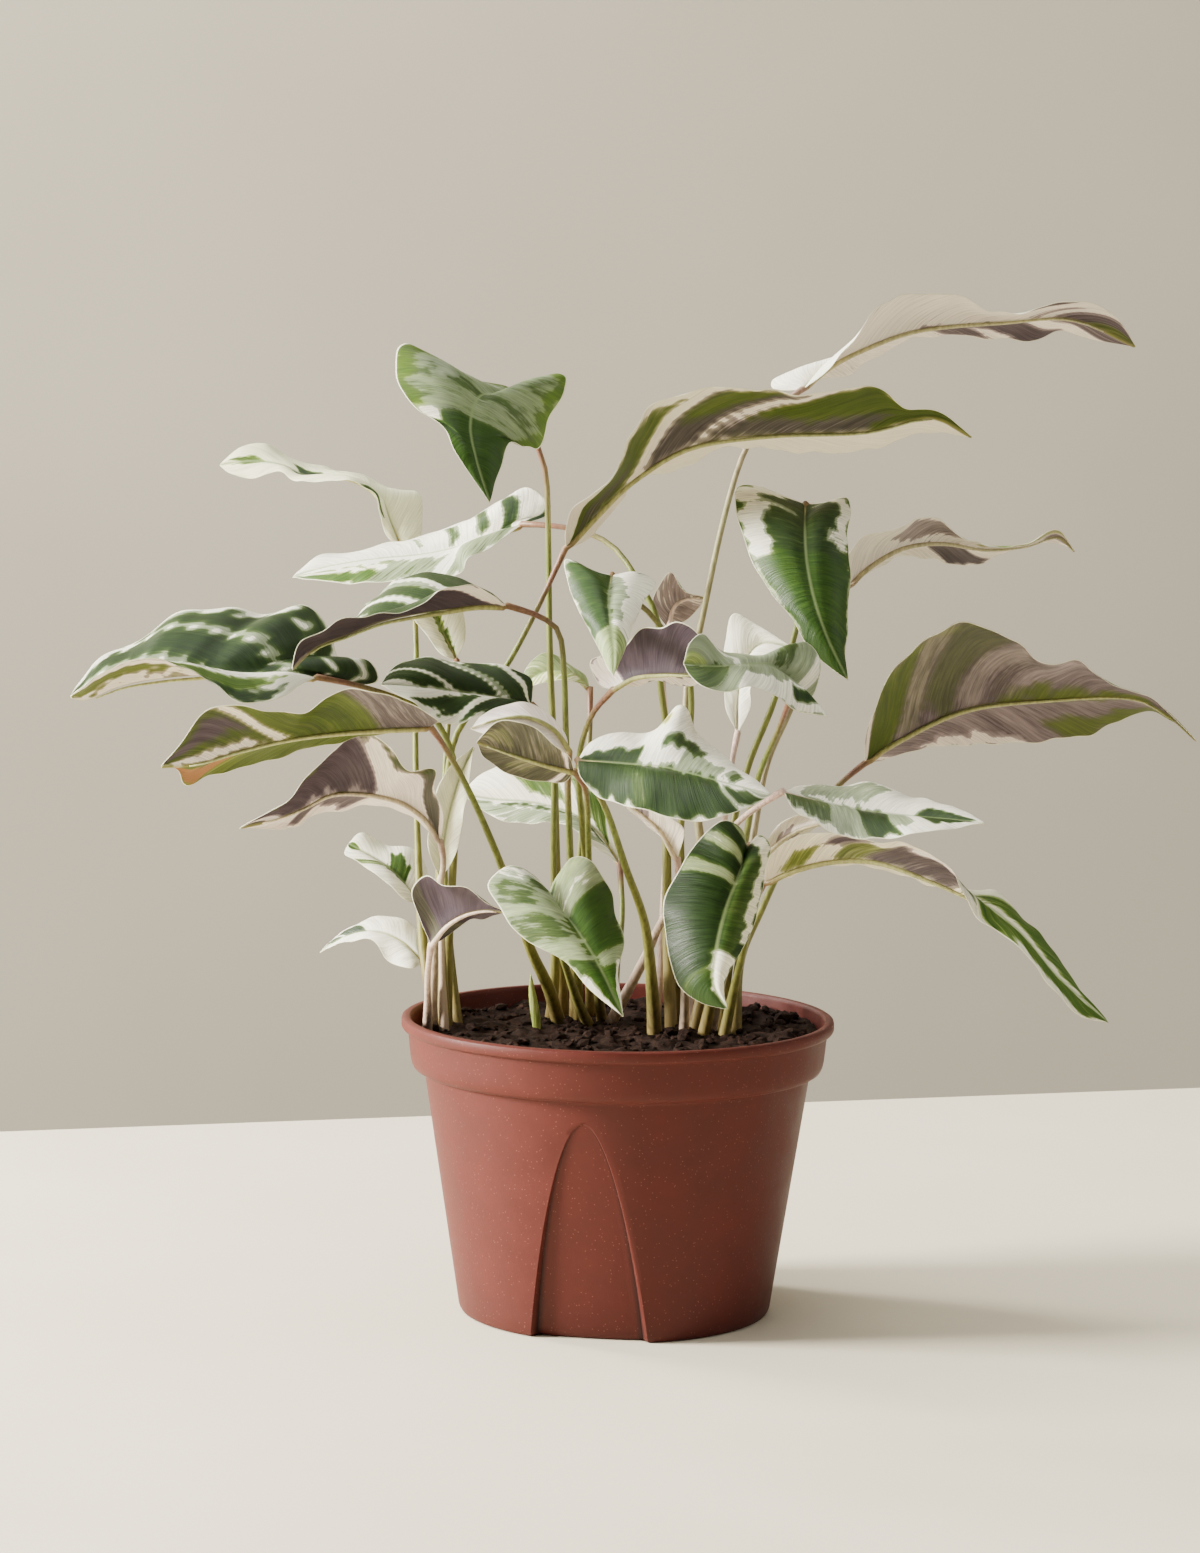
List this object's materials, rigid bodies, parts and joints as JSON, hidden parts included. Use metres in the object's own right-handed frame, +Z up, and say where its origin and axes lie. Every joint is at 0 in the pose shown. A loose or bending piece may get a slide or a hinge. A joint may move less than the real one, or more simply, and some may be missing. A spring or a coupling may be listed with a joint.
{
  "type": "potted calathea plant",
  "caption": "Calathea with long-stalked variegated green and white leaves, purple-grey underneath, in a round terracotta-coloured plastic nursery pot.",
  "frame": {"origin": "middle of the pot's base, on the surface it stands on", "axes": "+Z up along the pot's axis, -Y to the front, +X to the right as seen from the front, which is also the widest way across the leaves"},
  "size_m": [0.3869, 0.2117, 0.3546],
  "materials": {
    "pot": "matt terracotta-coloured plastic with fine pale specks",
    "soil": "dark crumbly potting mix",
    "blade": "satin leaf, dark green and white above, purple-grey below",
    "stalk": "satin olive-green stalk, pinkish near the blade",
    "shoot": "satin yellow-green young spear"
  },
  "bodies": {
    "root": {"pot": "pot", "soil": "soil", "new_shoot": "shoot", "leaf_top_right": "blade", "stalk_top_right": "stalk", "leaf_top_centre": "blade", "stalk_top_centre": "stalk", "leaf_top_left": "blade", "stalk_top_left": "stalk", "leaf_ribbon_left": "blade", "stalk_ribbon_left": "stalk", "leaf_white_left": "blade", "stalk_white_left": "stalk", "leaf_arch_left": "blade", "stalk_arch_left": "stalk", "leaf_far_left": "blade", "stalk_far_left": "stalk", "leaf_banded_left": "blade", "stalk_banded_left": "stalk", "leaf_olive_left": "blade", "stalk_olive_left": "stalk", "leaf_pink_left": "blade", "stalk_pink_left": "stalk", "leaf_pale_left_back": "blade", "leaf_pale_left_low": "blade", "leaf_plum_small": "blade", "leaf_front_centre": "blade", "stalk_front_centre": "stalk", "leaf_front_right": "blade", "stalk_front_right": "stalk", "leaf_centre": "blade", "stalk_centre": "stalk", "leaf_cream_centre": "blade", "leaf_right_flat": "blade", "stalk_right_flat": "stalk", "leaf_right_long": "blade", "stalk_right_long": "stalk", "leaf_beige_right": "blade", "leaf_right_big": "blade", "stalk_right_big": "stalk", "leaf_right_hanging": "blade", "stalk_right_hanging": "stalk", "leaf_ribbon_right": "blade", "stalk_ribbon_right": "stalk", "leaf_folded_centre": "blade", "stalk_folded_centre": "stalk", "leaf_pink_back": "blade", "leaf_plum_arch": "blade", "stalk_plum_arch": "stalk", "leaf_grey_right": "blade", "stalk_grey_right": "stalk", "leaf_cream_back": "blade", "leaf_olive_centre": "blade", "stalk_olive_centre": "stalk", "leaf_pink_centre": "blade", "stalk_pink_centre": "stalk", "leaf_green_back": "blade", "leaf_small_arch": "blade", "leaf_cream_left": "blade", "leaf_rolled": "blade"}
  },
  "joints": []
}
